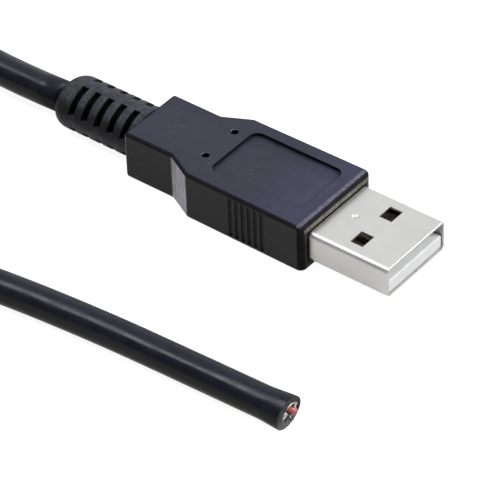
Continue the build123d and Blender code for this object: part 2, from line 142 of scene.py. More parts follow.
def centre_line(points):
    """The smooth line that a cable follows, as points read from its spline."""
    curve = bpy.data.curves.new("line", "CURVE")
    curve.dimensions = "3D"
    curve.resolution_u = 8
    spline = curve.splines.new("NURBS")
    spline.points.add(len(points) - 1)
    for place, point in zip(spline.points, points):
        place.co = (*(c * MM for c in point), 1)
    spline.order_u = 3
    spline.use_endpoint_u = True
    carrier = add_object("line", curve)
    bpy.context.view_layer.update()
    graph = bpy.context.evaluated_depsgraph_get()
    mesh = bpy.data.meshes.new_from_object(carrier.evaluated_get(graph))
    line = [vertex.co.copy() for vertex in mesh.vertices]
    bpy.data.objects.remove(carrier)
    bpy.data.meshes.remove(mesh)
    return line


def line_frames(line):
    """A heading and two cross directions at each point, turned as little as the line allows."""
    headings = []
    for before, after in zip([line[0]] + line[:-1], line[1:] + [line[-1]]):
        headings.append((after - before).normalized())
    across = headings[0].cross(Vector((0, 0, 1))).normalized()
    frames = []
    for heading in headings:
        across = (across - heading * across.dot(heading)).normalized()
        frames.append((heading, across, heading.cross(across)))
    return frames


def ring(centre, axes, radius, sides):
    """Points round a centre, square to the heading."""
    _, across, upright = axes
    turns = [2 * math.pi * side / sides for side in range(sides)]
    return [centre + (across * math.cos(t) + upright * math.sin(t)) * radius for t in turns]


def rows_mesh(name, rows, lengthwise, around, sharp_rows=()):
    """Closed skin over rows of points, with a flat lid on each end and a UV map in millimetres."""
    mesh = bmesh.new()
    uv = mesh.loops.layers.uv.new("along")
    grid = [[mesh.verts.new(point) for point in row] for row in rows]
    sides = len(rows[0])
    for number, (low, high) in enumerate(zip(grid, grid[1:])):
        for side in range(sides):
            after = (side + 1) % sides
            face = mesh.faces.new((low[side], low[after], high[after], high[side]))
            face.smooth = number not in sharp_rows
            corners = ((side, 0), (side + 1, 0), (side + 1, 1), (side, 1))
            for loop, (turn, step) in zip(face.loops, corners):
                loop[uv].uv = (turn / sides * around / MM, lengthwise[number + step] / MM)
    mesh.faces.new(reversed(grid[0]))
    mesh.faces.new(grid[-1])
    bmesh.ops.recalc_face_normals(mesh, faces=mesh.faces)
    data = bpy.data.meshes.new(name)
    mesh.to_mesh(data)
    mesh.free()
    return data


# Cut end of the cable: its own frame, and how the cutters squeezed and slanted it
CUT_POINT = Vector(CUT_POINTS[-1]) * MM
CUT_HEADING = (CUT_POINT - Vector(CUT_POINTS[-2]) * MM).normalized()
CUT_ACROSS = Vector((-CUT_HEADING.y, CUT_HEADING.x, 0))
UP = Vector((0, 0, 1))
SQUEEZE_LENGTH = 3.5 * MM
SQUEEZE = 0.1
CUT_REACH = 0.22
SLANT = 0.12
WIDENED = Vector((0.73, 0.683))
SLANTED = Vector((0.86, 0.51))
BORE_SHIFT = (0.32, -0.06)
SHIELD_SHIFT = 0.26
INNER_END = -7.9


def smooth_step(share):
    share = min(max(share, 0), 1)
    return share * share * (3 - 2 * share)


def cut_place(along, across, up):
    """Point in the cut end's frame, in millimetres from the middle of the cut, as it lies now."""
    hold = smooth_step(1 + along * MM / SQUEEZE_LENGTH)
    flat = Vector((across, up))
    wide = flat.dot(WIDENED)
    narrow = flat.dot(Vector((-WIDENED.y, WIDENED.x)))
    flat += WIDENED * wide * SQUEEZE * hold
    flat -= Vector((-WIDENED.y, WIDENED.x)) * narrow * SQUEEZE * hold
    along += hold * (CUT_REACH + SLANT * Vector((across, up)).dot(SLANTED))
    point = CUT_HEADING * along + CUT_ACROSS * flat.x + UP * (flat.y + 0.03 * hold)
    return CUT_POINT + point * MM


def uneven(number):
    """A fixed value between -1 and 1 that looks random, for hand-made unevenness."""
    return 2 * ((math.sin(number * 12.9898) * 43758.5453) % 1) - 1


def cable_mesh(line, radius, sides=48):
    """Jacket along the line, with its squeezed, slanted cut face and the bore behind it."""
    frames = line_frames(line)
    last = max(n for n, p in enumerate(line) if (CUT_POINT - p).dot(CUT_HEADING) > SQUEEZE_LENGTH)
    rows, lengthwise = [], []
    run = 0.0
    for number in range(last + 1):
        run += (line[number] - line[number - 1]).length if number else 0
        swell = 1 + PLUG_END_SWELL * smooth_step(1 - run / PLUG_END_LENGTH)
        rows.append(ring(line[number], frames[number], radius * swell, sides))
        lengthwise.append(run)
    _, across, upright = frames[last]
    turns = [2 * math.pi * side / sides for side in range(sides)]
    spokes = [across * math.cos(turn) + upright * math.sin(turn) for turn in turns]
    spokes = [(spoke.dot(CUT_ACROSS), spoke.z) for spoke in spokes]
    outer = radius / MM
    bore = CABLE_BORE / MM
    steps = [(-d, outer, 0, 0) for d in (3.4, 3, 2.6, 2.2, 1.8, 1.4, 1, 0.7, 0.4, 0.2, 0.06)]
    steps += [(-0.015, outer - 0.02, 0, 0.01), (0, outer - 0.07, 0.05, 0.03)]
    steps += [(0, outer + (bore - outer) * k, k, 0.05) for k in (0.25, 0.5, 0.75)]
    steps += [(0, bore, 1, 0.04), (-0.15, bore, 1, 0.03), (-0.8, bore, 0.8, 0.02)]
    steps += [(-2, bore, 0.3, 0), (-CUT_DEPTH / MM, bore, 0, 0)]
    for number, (along, size, move, rough) in enumerate(steps):
        row = []
        for side, (x, y) in enumerate(spokes):
            bump = rough * (uneven(side * 7 + number * 131) + uneven(side // 3 + number * 17))
            place = (x * size + BORE_SHIFT[0] * move, y * size + BORE_SHIFT[1] * move)
            row.append(cut_place(along + bump, *place))
        rows.append(row)
        lengthwise.append(run + abs(along + 3.5) * MM)
    return rows_mesh("cable", rows, lengthwise, 2 * math.pi * radius)


route = LEAD_POINTS + coil_points() + CUT_POINTS
cable_line = centre_line(route)
cable = add_object("cable", cable_mesh(cable_line, CABLE_DIAMETER / 2))

# Wires at the cut: colour, place across and up, how far the tip moves, and the tip's reach
CUT_WIRES = {
    "red": ((0.66, -0.09), (0.68, -0.84), -0.05),
    "green": ((0.09, 0.66), (-0.02, 0.03), -0.5),
    "white": ((-0.66, 0.09), (-0.06, -0.06), 0.0),
    "black": ((-0.09, -0.66), (0.14, -0.04), 0.0),
}
WIRE_RADIUS, CORE_RADIUS, STRAND_RADIUS = 0.46, 0.2, 0.065
CORE_REACH = -0.22
WIRE_BEND_LENGTH, WIRE_BEND_POWER = 1.6, 2.2
SHIELD_OPEN_LENGTH = 1.9


def wire_line(place, move, reach):
    """Line of one wire in the cut end's frame: along, across, up and how much of the bend is done."""
    stations = [INNER_END, -5, -3, -2, -1.5, -1.1, -0.8, -0.5, -0.25, 0]
    line = []
    for station in stations:
        bend = max(0, 1 + station / WIRE_BEND_LENGTH) ** WIRE_BEND_POWER
        line.append(
            Vector((station + reach, place[0] + move[0] * bend, place[1] + move[1] * bend))
        )
    return line


def wire_mesh(name, line, radius, bore, sides=20):
    """Insulated wire in the cut end, with a rounded cut edge and the hole that its core fills."""
    rows, lengthwise = [], []
    heading = (line[-1] - line[-2]).normalized()
    profile = [(point, radius) for point in line[:-1]]
    tip = line[-1]
    profile += [(tip - heading * 0.04, radius), (tip, radius - 0.04)]
    profile += [(tip, bore), (tip - heading * 1.2, bore)]
    for number, (point, size) in enumerate(profile):
        ahead = heading
        if number < len(line) - 1:
            ahead = (line[number + 1] - line[max(number - 1, 0)]).normalized()
        side_way = ahead.cross(Vector((0, 0, 1))).normalized()
        rise = side_way.cross(ahead)
        row = []
        for side in range(sides):
            turn = 2 * math.pi * side / sides
            spot = point + (side_way * math.cos(turn) + rise * math.sin(turn)) * size
            row.append(cut_place(*spot))
        rows.append(row)
        lengthwise.append(number * 0.5 * MM)
    return rows_mesh(name, rows, lengthwise, 2 * math.pi * radius * MM)


def shield_mesh(name, radius, thickness, edge, crumple, sides=56):
    """Layer of the shield in the cut end, a thin tube whose edge follows the edge function."""
    rows, lengthwise = [], []
    stations = [INNER_END, -4, -2.5, -1.8, -1.2, -0.8, -0.5, -0.25, 0]
    walls = [(station, radius) for station in stations]
    walls += [(station, radius - thickness) for station in reversed(stations)]
    for number, (station, size) in enumerate(walls):
        row = []
        for side in range(sides):
            turn = 2 * math.pi * side / sides
            tip = edge(turn, side)
            along = tip + station if station > -SHIELD_OPEN_LENGTH else station
            open_share = smooth_step(1 + station / SHIELD_OPEN_LENGTH)
            dent = crumple * uneven(side // 2 + 3 * round(station * 4)) * open_share
            shift = SHIELD_SHIFT * open_share
            spot = ((size + dent) * math.cos(turn) + shift, (size + dent) * math.sin(turn))
            row.append(cut_place(along, *spot))
        rows.append(row)
        lengthwise.append(number * 0.4 * MM)
    return rows_mesh(name, rows, lengthwise, 2 * math.pi * radius * MM)


def braid_edge(turn, side):
    """How far the braid reaches round its edge, lowest where it was torn."""
    lower = 0.2 * max(0, math.cos(turn + 1.5))
    return -0.22 + 0.16 * math.sin(turn + 0.3) + lower + 0.06 * uneven(side)


def foil_edge(turn, side):
    """How far the foil reaches round its edge, in torn steps."""
    return -0.12 + 0.16 * math.sin(turn + 0.5) + 0.09 * uneven(side // 3)


# Fine wires that end at the cut, one straight piece on each point, by Geometry Nodes
def wire_ends_tree():
    tree = bpy.data.node_groups.new("wire ends", "GeometryNodeTree")
    for label, kind in (
        ("Tips", "Geometry"),
        ("Wire Radius", "Float"),
        ("Wire Length", "Float"),
        ("Heading", "Vector"),
        ("Lean", "Float"),
        ("Seed", "Int"),
        ("Finish", "Material"),
    ):
        tree.interface.new_socket(name=label, in_out="INPUT", socket_type=f"NodeSocket{kind}")
    tree.interface.new_socket(name="Wires", in_out="OUTPUT", socket_type="NodeSocketGeometry")
    nodes, links = tree.nodes, tree.links
    given = nodes.new("NodeGroupInput").outputs
    piece = nodes.new("GeometryNodeMeshCylinder")
    piece.inputs["Vertices"].default_value = 8
    half = nodes.new("ShaderNodeMath")
    half.operation = "MULTIPLY"
    half.inputs[1].default_value = -0.5
    below = nodes.new("ShaderNodeCombineXYZ")
    hung = nodes.new("GeometryNodeTransform")
    aim = nodes.new("FunctionNodeAlignRotationToVector")
    aim.axis = "Z"
    spread = nodes.new("FunctionNodeRandomValue")
    spread.data_type = "FLOAT_VECTOR"
    spread.inputs["Min"].default_value = (-1, -1, 0)
    spread.inputs["Max"].default_value = (1, 1, 0)
    lean = nodes.new("ShaderNodeVectorMath")
    lean.operation = "SCALE"
    turn = nodes.new("FunctionNodeRotateRotation")
    turn.rotation_space = "LOCAL"
    put = nodes.new("GeometryNodeInstanceOnPoints")
    real = nodes.new("GeometryNodeRealizeInstances")
    paint = nodes.new("GeometryNodeSetMaterial")
    out = nodes.new("NodeGroupOutput")
    for source, target in (
        (given["Wire Radius"], piece.inputs["Radius"]),
        (given["Wire Length"], piece.inputs["Depth"]),
        (given["Wire Length"], half.inputs[0]),
        (half.outputs["Value"], below.inputs["Z"]),
        (below.outputs["Vector"], hung.inputs["Translation"]),
        (piece.outputs["Mesh"], hung.inputs["Geometry"]),
        (hung.outputs["Geometry"], put.inputs["Instance"]),
        (given["Tips"], put.inputs["Points"]),
        (given["Heading"], aim.inputs["Vector"]),
        (given["Seed"], spread.inputs["Seed"]),
        (spread.outputs["Value"], lean.inputs["Vector"]),
        (given["Lean"], lean.inputs["Scale"]),
        (aim.outputs["Rotation"], turn.inputs["Rotation"]),
        (lean.outputs["Vector"], turn.inputs["Rotate By"]),
        (turn.outputs["Rotation"], put.inputs["Rotation"]),
        (put.outputs["Instances"], real.inputs["Geometry"]),
        (real.outputs["Geometry"], paint.inputs["Geometry"]),
        (given["Finish"], paint.inputs["Material"]),
        (paint.outputs["Geometry"], out.inputs["Wires"]),
    ):
        links.new(source, target)
    return tree


WIRE_ENDS = wire_ends_tree()
WIRE_LEAN, WIRE_SEED = 0.09, 0


def wire_ends(name, tips, radius, length, heading, material):
    """Straight fine wires that end at the tips and run back against the heading."""
    data = bpy.data.meshes.new(name)
    data.from_pydata([tuple(tip) for tip in tips], [], [])
    piece = add_object(name, data)
    modifier = piece.modifiers.new("wire ends", "NODES")
    modifier.node_group = WIRE_ENDS
    values = {
        "Wire Radius": radius,
        "Wire Length": length,
        "Heading": tuple(heading),
        "Lean": WIRE_LEAN,
        "Seed": WIRE_SEED,
        "Finish": material,
    }
    for socket in WIRE_ENDS.interface.items_tree:
        if socket.name in values:
            modifier[socket.identifier] = values[socket.name]
    graph = bpy.context.evaluated_depsgraph_get()
    whole = bpy.data.meshes.new_from_object(piece.evaluated_get(graph))
    piece.modifiers.remove(modifier)
    piece.data = whole
    return piece


# Studio: white surroundings, two soft lamps and a floor that takes the shadow
def area_lamp(name, place, aim, size, power, colour):
    data = bpy.data.lights.new(name, "AREA")
    data.shape = "RECTANGLE"
    data.size, data.size_y = size
    data.energy = power
    data.color = colour
    lamp = add_object(name, data)
    lamp.location = place
    direction = Vector(aim) - Vector(place)
    lamp.rotation_euler = direction.to_track_quat("-Z", "Y").to_euler()


def white_rays(nodes, links):
    """One for the rays that show the white surroundings: from the camera, in gloss, through glass."""
    path = nodes.new("ShaderNodeLightPath")
    gloss = nodes.new("ShaderNodeMath")
    gloss.operation = "MAXIMUM"
    links.new(path.outputs["Is Glossy Ray"], gloss.inputs[0])
    links.new(path.outputs["Is Transmission Ray"], gloss.inputs[1])
    return path.outputs["Is Camera Ray"], gloss.outputs["Value"]


def build_world():
    """White surroundings that fall off to a dim side, the near long side of the plug."""
    world = bpy.data.worlds.new("studio")
    bpy.context.scene.world = world
    world.use_nodes = True
    nodes, links = world.node_tree.nodes, world.node_tree.links
    nodes.clear()
    output = nodes.new("ShaderNodeOutputWorld")
    direction = nodes.new("ShaderNodeTexCoord").outputs["Generated"]
    split = nodes.new("ShaderNodeSeparateXYZ")
    links.new(direction, split.inputs["Vector"])
    dim = nodes.new("ShaderNodeMapRange")
    dim.interpolation_type = "SMOOTHSTEP"
    links.new(split.outputs["Y"], dim.inputs["Value"])
    for label, value in (("From Min", -0.55), ("From Max", -0.1), ("To Min", 0.26), ("To Max", 1.0)):
        dim.inputs[label].default_value = value
    room = nodes.new("ShaderNodeBackground")
    mirrored = nodes.new("ShaderNodeBackground")
    for light, colour, strength in (
        (room, (0.93, 0.96, 1.0), 0.52),
        (mirrored, (0.98, 0.99, 1.0), 0.97),
    ):
        light.inputs["Color"].default_value = (*colour, 1)
        level = nodes.new("ShaderNodeMath")
        level.operation = "MULTIPLY"
        links.new(dim.outputs["Result"], level.inputs[0])
        level.inputs[1].default_value = strength
        links.new(level.outputs["Value"], light.inputs["Strength"])
    seen = nodes.new("ShaderNodeBackground")
    seen.inputs["Strength"].default_value = 1.0
    camera_ray, gloss_ray = white_rays(nodes, links)
    first = nodes.new("ShaderNodeMixShader")
    second = nodes.new("ShaderNodeMixShader")
    links.new(gloss_ray, first.inputs["Fac"])
    links.new(room.outputs["Background"], first.inputs[1])
    links.new(mirrored.outputs["Background"], first.inputs[2])
    links.new(camera_ray, second.inputs["Fac"])
    links.new(first.outputs["Shader"], second.inputs[1])
    links.new(seen.outputs["Background"], second.inputs[2])
    links.new(second.outputs["Shader"], output.inputs["Surface"])


def build_floor():
    data = bpy.data.meshes.new("floor")
    half = FLOOR_SIZE / 2
    corners = [(-half, -half, 0), (half, -half, 0), (half, half, 0), (-half, half, 0)]
    data.from_pydata(corners, [], [(0, 1, 2, 3)])
    floor = add_object("floor", data)
    material = bpy.data.materials.new("studio_floor")
    material.use_nodes = True
    nodes, links = material.node_tree.nodes, material.node_tree.links
    nodes.clear()
    output = nodes.new("ShaderNodeOutputMaterial")
    matt = nodes.new("ShaderNodeBsdfDiffuse")
    matt.inputs["Color"].default_value = (0.42, 0.42, 0.42, 1)
    seen_glow = nodes.new("ShaderNodeEmission")
    seen_glow.inputs["Strength"].default_value = 0.9
    mirrored_glow = nodes.new("ShaderNodeEmission")
    mirrored_glow.inputs["Color"].default_value = (1.0, 0.97, 0.93, 1)
    mirrored_glow.inputs["Strength"].default_value = 0.42
    camera_ray, gloss_ray = white_rays(nodes, links)
    for ray, glow, below in (
        (gloss_ray, mirrored_glow, matt.outputs["BSDF"]),
        (camera_ray, seen_glow, None),
    ):
        both = nodes.new("ShaderNodeAddShader")
        mix = nodes.new("ShaderNodeMixShader")
        links.new(matt.outputs["BSDF"], both.inputs[0])
        links.new(glow.outputs["Emission"], both.inputs[1])
        links.new(ray, mix.inputs["Fac"])
        links.new(below or last, mix.inputs[1])
        links.new(both.outputs["Shader"], mix.inputs[2])
        last = mix.outputs["Shader"]
    links.new(last, output.inputs["Surface"])
    data.materials.append(material)


bpy.context.scene.view_settings.view_transform = "Standard"
build_world()
build_floor()
area_lamp("top_softbox", (-0.33, -0.26, 0.69), (0, 0, 0), (0.25, 0.25), 2.2, (0.94, 0.965, 1.0))
area_lamp("mouth_softbox", (0.5, 0.3, 0.46), (0.01, 0, 0), (0.35, 0.3), 3.9, (1.0, 0.99, 0.97))


# Node building in short
class Tree:
    """A material's or a group's nodes, with short calls that return sockets."""

    def __init__(self, tree):
        self.nodes, self.links = tree.nodes, tree.links

    def put(self, socket, value):
        if isinstance(value, bpy.types.NodeSocket):
            self.links.new(value, socket)
        elif value is not None:
            socket.default_value = value

    def node(self, kind, **inputs):
        node = self.nodes.new(kind)
        for label, value in inputs.items():
            self.put(node.inputs[label.replace("_", " ")], value)
        return node

    def math(self, operation, first, second=None, clamp=False):
        node = self.nodes.new("ShaderNodeMath")
        node.operation = operation
        node.use_clamp = clamp
        self.put(node.inputs[0], first)
        self.put(node.inputs[1], second)
        return node.outputs["Value"]

    def scaled(self, vector, factors):
        node = self.nodes.new("ShaderNodeVectorMath")
        node.operation = "MULTIPLY"
        self.put(node.inputs[0], vector)
        node.inputs[1].default_value = factors
        return node.outputs["Vector"]

    def noise(self, vector, scale, detail=3.0, rough=0.5):
        node = self.node("ShaderNodeTexNoise", Vector=vector, Scale=scale)
        node.inputs["Detail"].default_value = detail
        node.inputs["Roughness"].default_value = rough
        return node.outputs["Fac"]

    def ramp(self, value, low, high, to_low=0.0, to_high=1.0):
        node = self.nodes.new("ShaderNodeMapRange")
        node.interpolation_type = "SMOOTHSTEP"
        self.put(node.inputs["Value"], value)
        self.put(node.inputs["From Min"], low)
        self.put(node.inputs["From Max"], high)
        node.inputs["To Min"].default_value = to_low
        node.inputs["To Max"].default_value = to_high
        return node.outputs["Result"]

    def blend(self, factor, first, second):
        node = self.nodes.new("ShaderNodeMix")
        node.data_type = "RGBA"
        self.put(node.inputs["Factor"], factor)
        for label, value in (("A", first), ("B", second)):
            if isinstance(value, tuple):
                value = (*value, 1)
            self.put([s for s in node.inputs if s.name == label and s.type == "RGBA"][0], value)
        return [s for s in node.outputs if s.type == "RGBA"][0]

    def group(self, tree, **inputs):
        node = self.nodes.new("ShaderNodeGroup")
        node.node_tree = tree
        for label, value in inputs.items():
            self.put(node.inputs[label.replace("_", " ")], value)
        return node


# Shared effects, each a node group with named inputs and outputs. Their vectors are in millimetres
def effect_group(name, inputs, outputs):
    tree = bpy.data.node_groups.new(name, "ShaderNodeTree")
    for label, value in inputs.items():
        kind = "NodeSocketVector" if value is None else "NodeSocketFloat"
        socket = tree.interface.new_socket(name=label, in_out="INPUT", socket_type=kind)
        if value is not None:
            socket.default_value = value
    for label in outputs:
        tree.interface.new_socket(name=label, in_out="OUTPUT", socket_type="NodeSocketFloat")
    start = tree.nodes.new("NodeGroupInput")
    end = tree.nodes.new("NodeGroupOutput")
    return tree, Tree(tree), start.outputs, end.inputs


def grain_group():
    """Surface grain: a fine relief, and a coarser mottle for tone and gloss."""
    inputs = {"Vector": None, "Grain Scale": 7.0, "Mottle Scale": 0.9}
    tree, t, given, out = effect_group("surface grain", inputs, ["Relief", "Mottle"])
    t.put(out["Relief"], t.noise(given["Vector"], given["Grain Scale"], 3.0, 0.6))
    mottle = t.noise(given["Vector"], given["Mottle Scale"], 4.0, 0.55)
    t.put(out["Mottle"], t.ramp(mottle, 0.3, 0.7))
    return tree


def specks_group():
    """Small scattered specks, such as dust and tiny nicks."""
    inputs = {"Vector": None, "Per Millimetre": 1.0, "Size": 0.08, "Share": 0.25}
    tree, t, given, out = effect_group("specks", inputs, ["Mask"])
    cells = t.node("ShaderNodeTexVoronoi", Vector=given["Vector"], Scale=given["Per Millimetre"])
    near = t.math("LESS_THAN", cells.outputs["Distance"], given["Size"])
    pick = t.node("ShaderNodeSeparateColor", Color=cells.outputs["Color"])
    some = t.math("LESS_THAN", pick.outputs["Red"], given["Share"])
    t.put(out["Mask"], t.math("MULTIPLY", near, some))
    return tree


def band_group():
    """One where a value lies between two limits, with soft sides."""
    inputs = {"Value": 0.0, "Low": 0.0, "High": 1.0, "Softness": 0.1}
    tree, t, given, out = effect_group("band", inputs, ["Mask"])
    above = t.ramp(given["Value"], t.math("SUBTRACT", given["Low"], given["Softness"]), given["Low"])
    past = t.ramp(given["Value"], given["High"], t.math("ADD", given["High"], given["Softness"]))
    t.put(out["Mask"], t.math("SUBTRACT", above, past, clamp=True))
    return tree


def streaks_group():
    """Fine parallel streaks, from a noise that is stretched by the vector that is given."""
    inputs = {"Vector": None, "Scale": 3.0, "Low": 0.42, "High": 0.62}
    tree, t, given, out = effect_group("streaks", inputs, ["Mask"])
    lines = t.noise(given["Vector"], given["Scale"], 5.0, 0.65)
    t.put(out["Mask"], t.ramp(lines, given["Low"], given["High"]))
    return tree


grain = grain_group()
specks = specks_group()
band = band_group()
streaks = streaks_group()


class Finish(Tree):
    """A material of one Principled shader, with its place in millimetres."""

    def __init__(self, name, colour, roughness, metallic=0.0):
        self.material = bpy.data.materials.new(name)
        self.material.use_nodes = True
        super().__init__(self.material.node_tree)
        self.shader = self.nodes["Principled BSDF"].inputs
        self.shader["Base Color"].default_value = (*colour, 1)
        self.shader["Roughness"].default_value = roughness
        self.shader["Metallic"].default_value = metallic
        object_place = self.nodes.new("ShaderNodeTexCoord").outputs["Object"]
        self.place = self.scaled(object_place, (1000, 1000, 1000))
        split = self.node("ShaderNodeSeparateXYZ", Vector=self.place)
        self.x, self.y, self.z = split.outputs
        self.relief = None

    def inside(self, value, low, high, softness=0.05):
        mask = self.group(band, Value=value, Low=low, High=high, Softness=softness)
        return mask.outputs["Mask"]

    def facing(self):
        """Which way the surface faces: the three parts of its normal."""
        normal = self.node("ShaderNodeNewGeometry").outputs["Normal"]
        return self.node("ShaderNodeSeparateXYZ", Vector=normal).outputs

    def along(self):
        """The piece's own map, round it and along it in millimetres."""
        own_map = self.node("ShaderNodeUVMap")
        own_map.uv_map = "along"
        return own_map.outputs["UV"]

    def both(self, *masks):
        result = masks[0]
        for mask in masks[1:]:
            result = self.math("MULTIPLY", result, mask)
        return result

    def raise_by(self, mask, height):
        """Adds a mask to the relief, height in millimetres."""
        part = self.math("MULTIPLY", mask, height)
        self.relief = part if self.relief is None else self.math("ADD", self.relief, part)

    def done(self):
        if self.relief is not None:
            bump = self.node("ShaderNodeBump", Height=self.relief, Strength=1.0)
            bump.inputs["Distance"].default_value = MM
            self.links.new(bump.outputs["Normal"], self.shader["Normal"])
        return self.material


def plain_finish(name, dark, light, gloss, metallic=0.0, grain_scale=7.0, height=0.004):
    """Two close tones and two close roughnesses that follow the mottle, and a fine relief."""
    f = Finish(name, light, gloss[1], metallic)
    surface = f.group(grain, Vector=f.place, Grain_Scale=grain_scale)
    mottle = surface.outputs["Mottle"]
    f.put(f.shader["Base Color"], f.blend(mottle, dark, light))
    f.put(f.shader["Roughness"], f.ramp(mottle, 0, 1, *gloss))
    f.raise_by(surface.outputs["Relief"], height)
    return f


# Places on the plug that its finishes follow, in millimetres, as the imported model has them
TAPER_FRONT_X, TAPER_REAR_X, BODY_REAR_X = -2.55, -6.4, -14.2
FRONT_X, MOUTH_X, MIDDLE_Z = 16.0, 28.15, 3.55
PANEL_X, PANEL_Y = (-1.2, 13.8), (-4.8, 5.5)
PIN_HOLES_X, PIN_HOLES_Y = (-3.6, -2.1), (-4, 5)
SLOTS_END_X, SLOT_FLOOR_RADIUS = -27, 3.25
HOLLOW_Y, HOLLOW_Z = (-5.74, 5.74), (1.56, 5.54)


def overmould_finish():
    """Satin black moulding with a parting line, and painted light and shade: painted shade on the dark
    edge rounds, sides, recess walls, pin holes, shell junction and boot sides and slots, a painted
    reflection on the taper faces, a painted highlight on the front rim with its wear, and painted light
    on the front of the top, the front face, the back corners and the boot's underside.
    """
    f = Finish("black_overmould", (0.03, 0.033, 0.052), 0.46)
    f.shader["Specular IOR Level"].default_value = 0.2
    surface = f.group(grain, Vector=f.place, Grain_Scale=8.0, Mottle_Scale=0.7)
    mottle = surface.outputs["Mottle"]
    colour = f.blend(mottle, (0.029, 0.031, 0.049), (0.037, 0.04, 0.062))
    facing = f.facing()
    # Painted light: the top faces are painted lighter and bluer toward the front.
    forward = f.both(f.inside(f.x, FRONT_X - 3, FRONT_X + 1, 8), f.inside(facing["Z"], 0.9, 2))
    colour = f.blend(forward, colour, f.blend(mottle, (0.039, 0.042, 0.073), (0.051, 0.055, 0.094)))
    upright = f.inside(facing["Z"], -0.25, 0.25, 0.1)
    body = f.inside(f.x, BODY_REAR_X + 0.1, FRONT_X + 1, 0.1)
    # Painted shade: the top edge rounds and the front vertical corners are painted nearly black.
    rounds = f.both(f.inside(facing["Z"], 0.25, 0.96, 0.05), body, f.inside(f.z, 6.5, 8, 0.05))
    middle = f.both(f.inside(f.y, -3, 3), f.inside(f.x, -13, 14))
    rounds = f.math("SUBTRACT", rounds, middle, clamp=True)
    corner = f.both(f.inside(facing["X"], 0.25, 0.9, 0.1), upright, f.inside(f.x, 15, 17))
    rounds = f.math("MAXIMUM", rounds, corner)
    # Painted light and shade: the body's upright sides get a neutral copy of the colour, without the
    # blue of the lit top.
    side = f.blend(mottle, (0.028, 0.026, 0.027), (0.036, 0.034, 0.035))
    colour = f.blend(f.both(upright, body), colour, side)
    colour = f.blend(f.math("MULTIPLY", rounds, 0.9), colour, (0.007, 0.005, 0.005))
    # Painted highlight: a light line on the rounded back vertical corners.
    rear = f.both(f.inside(facing["X"], -0.85, -0.35, 0.1), upright, f.inside(f.x, -14.3, -13.6))
    colour = f.blend(rear, colour, (0.3, 0.3, 0.32))
    # Painted shade: the walls of the panel recess are painted nearly black.
    wall = f.both(
        upright, f.inside(f.z, 6.4, 7.06, 0.03), f.inside(f.x, *PANEL_X), f.inside(f.y, *PANEL_Y)
    )
    colour = f.blend(wall, colour, (0.004, 0.004, 0.007))

    # Painted reflection: the taper faces are painted light and streaky, lighter toward their front.
    taper = f.both(f.inside(f.x, TAPER_REAR_X, TAPER_FRONT_X, 0.08), upright)
    taper_reflection_streaks = f.group(streaks, Vector=f.scaled(f.place, (3.2, 3.2, 0.25)), Scale=1.6)
    taper_reflection_front = f.inside(f.x, TAPER_REAR_X + 1.2, TAPER_FRONT_X, 1.6)
    pale = f.math("ADD", f.math("MULTIPLY", taper_reflection_streaks.outputs["Mask"], 0.5), 0.25)
    pale = f.math("ADD", pale, f.math("MULTIPLY", taper_reflection_front, 0.25))
    colour = f.blend(f.both(taper, pale), colour, (0.67, 0.655, 0.735))

    # Painted highlight with wear: a light, streaked band on the front rim, with bright nicks.
    rim = f.both(f.inside(f.x, FRONT_X - 0.85, FRONT_X - 0.55, 0.25), f.inside(f.z, 7.0, 8, 0.08))
    rim_wear_and_highlight = f.group(streaks, Vector=f.place, Scale=2.6, Low=0.35, High=0.7)
    rim_wear_and_highlight = f.math("ADD", f.math("MULTIPLY", rim_wear_and_highlight.outputs["Mask"], 0.65), 0.25)
    colour = f.blend(f.both(rim, rim_wear_and_highlight), colour, (0.19, 0.19, 0.25))
    nicks = f.group(streaks, Vector=f.place, Scale=3.6, Low=0.63, High=0.68)
    colour = f.blend(f.both(rim, nicks.outputs["Mask"]), colour, (0.5, 0.5, 0.56))
    # Painted light: an olive, streaked light band along the top of the front face.
    front_face = f.inside(f.x, FRONT_X - 0.06, FRONT_X + 1, 0.04)
    front_band_light = f.group(streaks, Vector=f.place, Scale=2.2, Low=0.3, High=0.7)
    olive = f.blend(front_band_light.outputs["Mask"], (0.03, 0.033, 0.025), (0.2, 0.2, 0.15))
    colour = f.blend(f.both(front_face, f.inside(f.z, 5.98, 6.55, 0.06)), colour, olive)
    # Painted shade: the front face beside the shell is painted nearly black.
    junction_shade = f.both(front_face, f.inside(f.z, 1, 5.9, 0.04), f.inside(f.y, -6.15, 6.15, 0.1))
    colour = f.blend(junction_shade, colour, (0.006, 0.006, 0.005))
    # Painted shade: the pin holes are painted black inside.
    pins = f.both(f.inside(f.x, *PIN_HOLES_X), f.inside(f.y, *PIN_HOLES_Y))
    pins = f.both(pins, f.inside(f.z, 5, 6.97, 0.04))
    colour = f.blend(pins, colour, (0.001, 0.001, 0.001))

    boot = f.inside(f.x, -40, BODY_REAR_X, 0.2)
    skin = f.group(streaks, Vector=f.place, Scale=1.9, Low=0.36, High=0.7)
    matt = f.blend(skin.outputs["Mask"], (0.025, 0.026, 0.032), (0.065, 0.067, 0.083))
    above = f.math("SUBTRACT", f.z, MIDDLE_Z)
    squares = f.math("ADD", f.math("MULTIPLY", f.y, f.y), f.math("MULTIPLY", above, above))
    from_axis = f.math("SQRT", squares)
    # Painted shade: the boot's faces that turn away from the top, more so on the near side, are painted
    # darker.
    upwards = f.math("ADD", facing["Z"], f.math("MULTIPLY", facing["Y"], 0.2))
    below = f.math("SUBTRACT", 1, f.ramp(upwards, 0.4, 0.72))
    matt = f.blend(f.math("MULTIPLY", below, 0.88), matt, (0.008, 0.008, 0.008))
    # Painted light: the boot's downward faces are painted paler.
    underside = f.math("SUBTRACT", 1, f.ramp(facing["Z"], -0.35, 0.3))
    paler = f.blend(skin.outputs["Mask"], (0.05, 0.05, 0.055), (0.13, 0.13, 0.14))
    matt = f.blend(underside, matt, paler)
